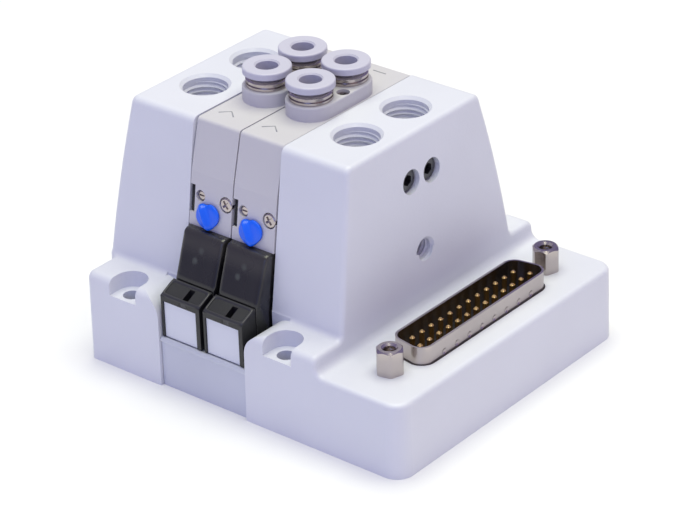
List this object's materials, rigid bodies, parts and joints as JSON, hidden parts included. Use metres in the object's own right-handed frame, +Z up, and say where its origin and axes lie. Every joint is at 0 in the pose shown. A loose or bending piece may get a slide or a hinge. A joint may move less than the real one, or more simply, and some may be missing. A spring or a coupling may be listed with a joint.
{
  "type": "pneumatic valve island",
  "caption": "Compact pneumatic valve island with push-in tube fittings on top, threaded supply ports in its end plates and a multi-pin electrical foot.",
  "frame": {"origin": "centre of the footprint, on the surface the island stands on", "axes": "+X along the row towards the electrical foot, -Y the front with the pilot valves, +Z up"},
  "size_m": [0.0768, 0.0666, 0.057],
  "materials": {
    "casting": "satin paint on a casting",
    "channel": "satin",
    "slice": "matte",
    "smoked": "gloss",
    "black_plastic": "matte",
    "label": "matte",
    "blue": "satin",
    "collar": "satin",
    "nickel": "nickel plate",
    "gold": "gold plate",
    "black_steel": "black oxide",
    "board": "solder resist",
    "coil": "enamelled wire",
    "seal": "matte"
  },
  "bodies": {
    "island": {"left_end_plate": "casting", "right_end_plate": "casting", "base_channel": "channel", "tie_screws": "black_steel", "gasket_1": "seal", "gasket_2": "seal", "gasket_3": "seal", "bus_board": "board", "dsub_shell": "nickel", "dsub_insulator": "black_plastic", "dsub_pins": "gold", "dsub_board": "board", "jackscrews": "nickel", "bottom_plate": "channel", "bottom_screws": "nickel", "tube_seals": "seal", "grip_rings": "nickel", "port_block_1": "slice", "valve_body_1": "slice", "boss_screw_1": "nickel", "end_plug_1": "slice", "pilot_cover_1": "smoked", "coil_1": "coil", "pilot_core_1": "nickel", "plunger_spring_1": "nickel", "connector_housing_1": "black_plastic", "label_plate_1": "label", "small_screw_1": "nickel", "pan_screw_1": "nickel", "cartridge_front_1": "nickel", "cartridge_rear_1": "nickel", "port_block_2": "slice", "valve_body_2": "slice", "boss_screw_2": "nickel", "end_plug_2": "slice", "pilot_cover_2": "smoked", "coil_2": "coil", "pilot_core_2": "nickel", "plunger_spring_2": "nickel", "connector_housing_2": "black_plastic", "label_plate_2": "label", "small_screw_2": "nickel", "pan_screw_2": "nickel", "cartridge_front_2": "nickel", "cartridge_rear_2": "nickel"},
    "collar_front_1": {"release_collar_front_1": "collar"},
    "collar_rear_1": {"release_collar_rear_1": "collar"},
    "override_lever_1": {"override_1": "blue"},
    "spool_body_1": {"spool_1": "nickel", "spool_seals_1": "seal"},
    "plunger_body_1": {"plunger_1": "nickel"},
    "collar_front_2": {"release_collar_front_2": "collar"},
    "collar_rear_2": {"release_collar_rear_2": "collar"},
    "override_lever_2": {"override_2": "blue"},
    "spool_body_2": {"spool_2": "nickel", "spool_seals_2": "seal"},
    "plunger_body_2": {"plunger_2": "nickel"}
  },
  "joints": [
    {"name": "collar_press_front_1", "type": "slide", "parent": "island", "child": "collar_front_1", "axis": [0, 0, -1], "range_m": [0, 0.0006], "stiffness_N_per_m": 200},
    {"name": "collar_press_rear_1", "type": "slide", "parent": "island", "child": "collar_rear_1", "axis": [0, 0, -1], "range_m": [0, 0.0006], "stiffness_N_per_m": 200},
    {"name": "override_turn_1", "type": "hinge", "parent": "island", "child": "override_lever_1", "pos_m": [-0.01312, -0.02289, 0.0337], "axis": [0, -0.9896, 0.1441], "range_deg": [0, 90]},
    {"name": "spool_shift_1", "type": "slide", "parent": "island", "child": "spool_body_1", "axis": [0, 1, 0], "range_m": [0, 0.0016]},
    {"name": "plunger_lift_1", "type": "slide", "parent": "island", "child": "plunger_body_1", "axis": [0, 0, 1], "range_m": [0, 0.0005], "stiffness_N_per_m": 200, "deforming": ["plunger_spring_1"]},
    {"name": "collar_press_front_2", "type": "slide", "parent": "island", "child": "collar_front_2", "axis": [0, 0, -1], "range_m": [0, 0.0006], "stiffness_N_per_m": 200},
    {"name": "collar_press_rear_2", "type": "slide", "parent": "island", "child": "collar_rear_2", "axis": [0, 0, -1], "range_m": [0, 0.0006], "stiffness_N_per_m": 200},
    {"name": "override_turn_2", "type": "hinge", "parent": "island", "child": "override_lever_2", "pos_m": [-0.00278, -0.02289, 0.0337], "axis": [0, -0.9896, 0.1441], "range_deg": [0, 90]},
    {"name": "spool_shift_2", "type": "slide", "parent": "island", "child": "spool_body_2", "axis": [0, 1, 0], "range_m": [0, 0.0016]},
    {"name": "plunger_lift_2", "type": "slide", "parent": "island", "child": "plunger_body_2", "axis": [0, 0, 1], "range_m": [0, 0.0005], "stiffness_N_per_m": 200, "deforming": ["plunger_spring_2"]}
  ]
}
